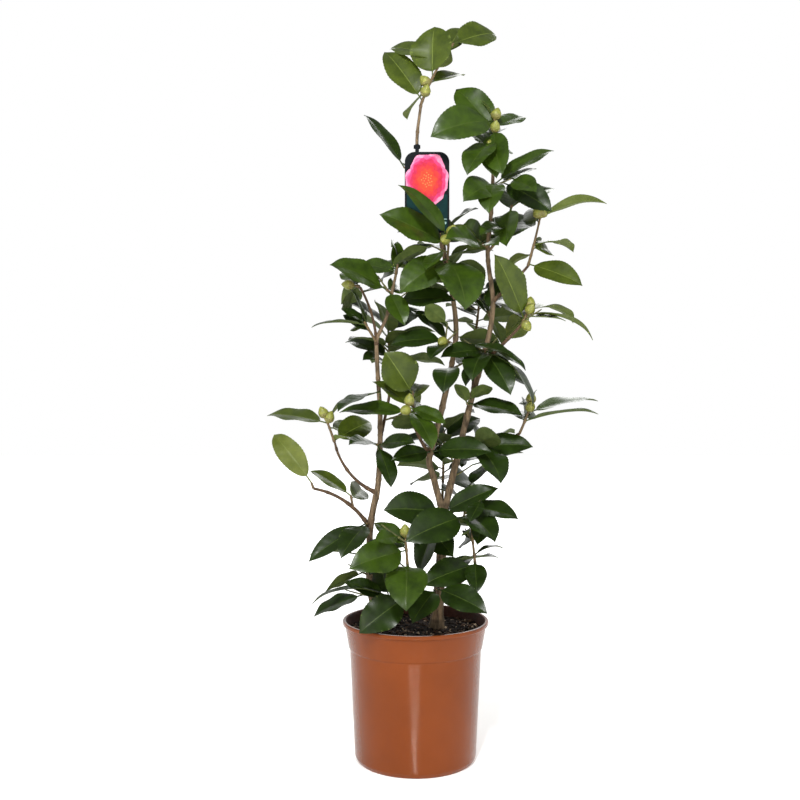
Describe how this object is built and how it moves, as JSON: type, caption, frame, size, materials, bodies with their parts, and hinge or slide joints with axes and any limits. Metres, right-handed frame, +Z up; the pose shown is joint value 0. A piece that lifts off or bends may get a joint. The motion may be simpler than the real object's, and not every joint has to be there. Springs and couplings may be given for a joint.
{
  "type": "potted camellia shrub",
  "caption": "Young upright camellia shrub in a round plastic nursery pot, with forked stems, glossy oval leaves, closed flower buds and a hanging plant label.",
  "frame": {"origin": "centre of the pot's flat underside", "axes": "+Z up along the pot's axis and the plant's height, -Y out of the side the plant shows best, +X to the right seen from there"},
  "size_m": [0.4488, 0.2906, 0.971],
  "materials": {
    "bark": "rough, finely ridged",
    "foliage": "glossy leaf",
    "pot_plastic": "smooth, semi-gloss",
    "mix": "loose, granular",
    "label_card": "printed, semi-gloss"
  },
  "bodies": {
    "root": {"trunk": "bark", "stem_left": "bark", "stem_middle": "bark", "stem_right": "bark", "bough_far_left_low": "bark", "bough_far_left_high": "bark", "bough_left_upper": "bark", "bough_left_centre": "bark", "bough_low_front": "bark", "bough_low_left": "bark", "bough_low_right": "bark", "bough_front_right": "bark", "bough_right_low": "bark", "bough_right_lower": "bark", "bough_right_mid": "bark", "bough_right_outer": "bark", "bough_back_low": "bark", "bough_back_left": "bark", "bough_back_right": "bark", "spray_top": "foliage", "spray_beside_label": "foliage", "spray_right_tip": "foliage", "spray_right_high": "foliage", "spray_right_shoulder": "foliage", "spray_right_outer": "foliage", "spray_right_mid": "foliage", "spray_right_lower": "foliage", "spray_right_core": "foliage", "spray_right_level": "foliage", "spray_right_hanging": "foliage", "spray_right_skirt": "foliage", "spray_fork": "foliage", "spray_centre_front": "foliage", "spray_centre_right": "foliage", "spray_left_tip": "foliage", "spray_left_high": "foliage", "spray_left_upper": "foliage", "spray_left_node": "foliage", "spray_centre": "foliage", "spray_centre_low": "foliage", "spray_left_round": "foliage", "spray_left_level": "foliage", "spray_left_dark": "foliage", "spray_middle_low": "foliage", "spray_far_left_high": "foliage", "spray_far_left_low": "foliage", "spray_far_left_inner": "foliage", "spray_low_left": "foliage", "spray_right_inner": "foliage", "spray_low_front": "foliage", "spray_rim_left": "foliage", "spray_low_right": "foliage", "spray_rim_right": "foliage", "spray_back_low": "foliage", "spray_back_left": "foliage", "spray_back_right": "foliage", "spray_back_high": "foliage", "pot": "pot_plastic", "potting_mix": "mix", "label": "label_card"}
  },
  "joints": []
}
